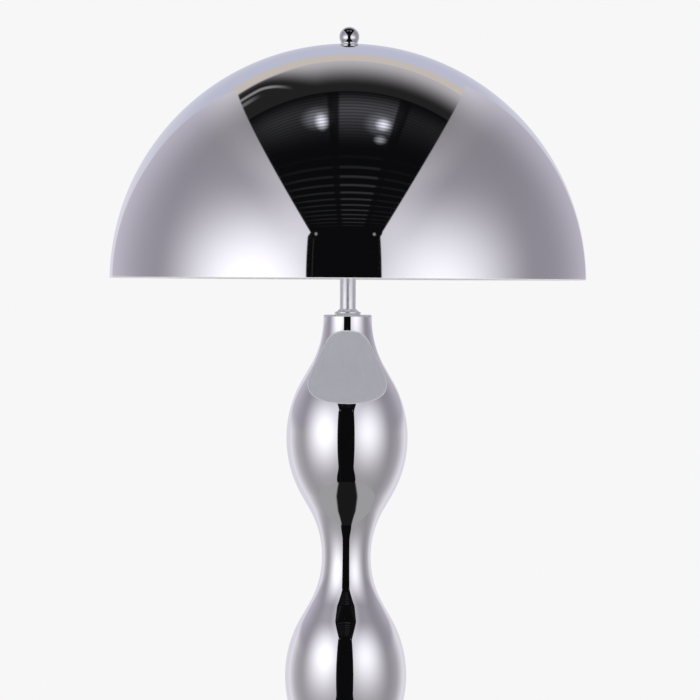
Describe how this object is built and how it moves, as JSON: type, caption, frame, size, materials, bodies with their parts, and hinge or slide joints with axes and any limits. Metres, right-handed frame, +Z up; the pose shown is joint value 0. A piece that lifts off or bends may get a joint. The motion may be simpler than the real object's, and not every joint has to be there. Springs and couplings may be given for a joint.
{
  "type": "mushroom floor lamp",
  "caption": "Floor lamp with a half-sphere mirror metal shade on a column of metal bubbles and a round weighted base.",
  "frame": {"origin": "centre of the underside of the base, on the column's axis", "axes": "+Z up along the column, front is -Y, the cord entry is at the back, +Y"},
  "size_m": [0.4759, 0.4758, 1.5126],
  "materials": {
    "polished_chrome": "mirror polished",
    "zinc_steel": "zinc plated",
    "white_steel": "satin white paint",
    "cast_iron": "as cast, painted black",
    "black_foam": "matt",
    "black_plastic": "moulded, matt",
    "white_plastic": "moulded, matt",
    "brass": "plain",
    "socket_shell": "nickel coloured, satin",
    "ceramic": "white glazed ceramic",
    "opal_glass": "opal, matt",
    "wire_sleeve": "smooth insulation"
  },
  "bodies": {
    "stand": {"upper_column": "polished_chrome", "lower_column": "polished_chrome", "neck_cap": "polished_chrome", "rod_collar": "polished_chrome", "rod": "polished_chrome", "foot_ring": "polished_chrome", "base_cover": "polished_chrome", "inner_tube_lower": "zinc_steel", "inner_tube_upper": "zinc_steel", "threaded_inserts": "zinc_steel", "tube_nipples": "zinc_steel", "joint_sleeve": "zinc_steel", "base_nipple": "zinc_steel", "base_washer": "zinc_steel", "base_nut": "zinc_steel", "stem": "zinc_steel", "stem_locknut": "zinc_steel", "shade_nut": "zinc_steel", "cluster_plug": "zinc_steel", "holder_nipples": "zinc_steel", "terminal_cover": "zinc_steel", "terminal_cover_screws": "zinc_steel", "cluster_body": "white_steel", "stem_sleeve": "white_steel", "shade_seat": "white_steel", "holder_cap_1": "white_steel", "holder_cap_2": "white_steel", "holder_cap_3": "white_steel", "holder_skirt_1": "white_steel", "holder_skirt_2": "white_steel", "holder_skirt_3": "white_steel", "base_weight": "cast_iron", "foot_pad": "black_foam", "cable_gland": "black_plastic", "gland_nut": "black_plastic", "terminal_block": "white_plastic", "splice_cap": "white_plastic", "terminal_screws": "brass", "contact_tongues": "brass", "holder_thread_1": "socket_shell", "holder_thread_2": "socket_shell", "holder_thread_3": "socket_shell", "holder_core_1": "ceramic", "holder_core_2": "ceramic", "holder_core_3": "ceramic", "inner_leads": "wire_sleeve", "holder_leads": "wire_sleeve"},
    "shade": {"shade_shell": "polished_chrome"},
    "finial_washer": {"finial_washer": "polished_chrome"},
    "finial": {"finial": "polished_chrome"},
    "bulb_1_contact": {"bulb_tip_1": "brass"},
    "bulb_1": {"bulb_cap_1": "socket_shell", "bulb_glass_1": "opal_glass"},
    "bulb_2_contact": {"bulb_tip_2": "brass"},
    "bulb_2": {"bulb_cap_2": "socket_shell", "bulb_glass_2": "opal_glass"},
    "bulb_3_contact": {"bulb_tip_3": "brass"},
    "bulb_3": {"bulb_cap_3": "socket_shell", "bulb_glass_3": "opal_glass"}
  },
  "joints": [
    {"name": "shade_swivel", "type": "hinge", "parent": "stand", "child": "shade", "pos_m": [0, 0, 1.4956], "axis": [0, 0, 1], "continuous": true},
    {"name": "finial_rise", "type": "slide", "parent": "stand", "child": "finial_washer", "axis": [0, 0, 1], "range_m": [0, 0.0101]},
    {"name": "finial_turn", "type": "hinge", "parent": "finial_washer", "child": "finial", "pos_m": [0, 0, 1.5026], "axis": [0, 0, 1], "range_deg": [0, 3600]},
    {"name": "bulb_1_rise", "type": "slide", "parent": "stand", "child": "bulb_1_contact", "axis": [0, 0.7071, 0.7071], "range_m": [0, 0.0142]},
    {"name": "bulb_1_turn", "type": "hinge", "parent": "bulb_1_contact", "child": "bulb_1", "pos_m": [0, 0.05657, 1.38017], "axis": [0, 0.7071, 0.7071], "range_deg": [0, 1800]},
    {"name": "bulb_2_rise", "type": "slide", "parent": "stand", "child": "bulb_2_contact", "axis": [-0.6124, -0.3536, 0.7071], "range_m": [0, 0.0142]},
    {"name": "bulb_2_turn", "type": "hinge", "parent": "bulb_2_contact", "child": "bulb_2", "pos_m": [-0.04899, -0.02828, 1.38017], "axis": [-0.6124, -0.3536, 0.7071], "range_deg": [0, 1800]},
    {"name": "bulb_3_rise", "type": "slide", "parent": "stand", "child": "bulb_3_contact", "axis": [0.6124, -0.3536, 0.7071], "range_m": [0, 0.0142]},
    {"name": "bulb_3_turn", "type": "hinge", "parent": "bulb_3_contact", "child": "bulb_3", "pos_m": [0.04899, -0.02828, 1.38017], "axis": [0.6124, -0.3536, 0.7071], "range_deg": [0, 1800]}
  ],
  "couplings": [
    {"joint": "finial_rise", "follows": "finial_turn", "m_per_rad": 0.00015915},
    {"joint": "bulb_1_rise", "follows": "bulb_1_turn", "m_per_rad": 0.00044882},
    {"joint": "bulb_2_rise", "follows": "bulb_2_turn", "m_per_rad": 0.00044882},
    {"joint": "bulb_3_rise", "follows": "bulb_3_turn", "m_per_rad": 0.00044882}
  ]
}
